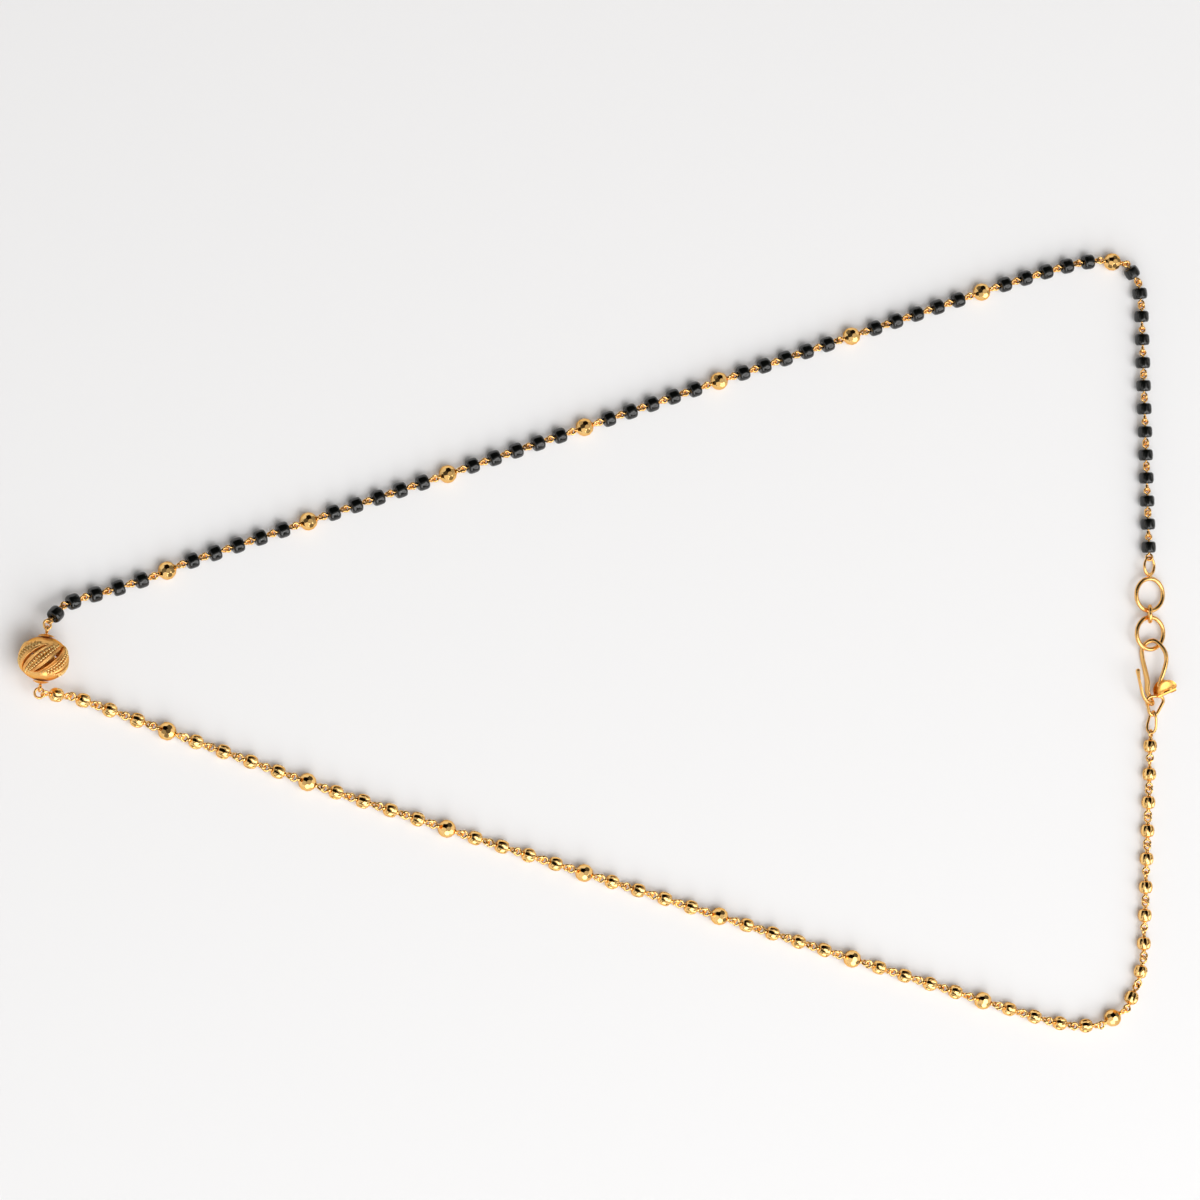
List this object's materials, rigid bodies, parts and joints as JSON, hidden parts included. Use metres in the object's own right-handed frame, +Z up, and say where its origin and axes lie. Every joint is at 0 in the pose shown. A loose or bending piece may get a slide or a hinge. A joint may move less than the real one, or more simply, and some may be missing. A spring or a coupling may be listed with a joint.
{
  "type": "mangalsutra necklace",
  "caption": "Necklace of black glass beads and gold balls on wire links, with a pierced ball, extension rings and an S-hook clasp, lying closed.",
  "frame": {"origin": "centre of the lying necklace's box, on the surface it lies on", "axes": "+X from the pierced ball towards the clasp, +Y towards the black-bead side, +Z up from the surface"},
  "size_m": [0.1967, 0.1304, 0.0079],
  "materials": {
    "black_glass": "opaque black glass, fire polished",
    "polished_gold": "polished 22 carat gold",
    "satin_gold": "satin gold with engraved lines"
  },
  "bodies": {
    "root": {"black_beads": "black_glass", "black_bead_pins": "polished_gold", "ribbed_balls": "polished_gold", "pierced_ball": "satin_gold", "ball_cap_upper": "polished_gold", "ball_cap_lower": "polished_gold", "ball_pin": "polished_gold", "ball_link": "polished_gold", "ball_ring": "polished_gold", "extension_ring_1": "polished_gold", "ring_connector": "polished_gold", "extension_ring_2": "polished_gold", "s_hook": "polished_gold", "end_ring": "polished_gold", "gold_end_link": "polished_gold", "folded_tag": "polished_gold", "faceted_ball_01": "polished_gold", "faceted_ball_02": "polished_gold", "faceted_ball_03": "polished_gold", "faceted_ball_04": "polished_gold", "faceted_ball_05": "polished_gold", "faceted_ball_06": "polished_gold", "faceted_ball_07": "polished_gold", "faceted_ball_08": "polished_gold", "faceted_ball_09": "polished_gold", "faceted_ball_10": "polished_gold", "faceted_ball_11": "polished_gold", "faceted_ball_12": "polished_gold", "faceted_ball_13": "polished_gold", "faceted_ball_14": "polished_gold", "faceted_ball_15": "polished_gold", "faceted_ball_16": "polished_gold"}
  },
  "joints": []
}
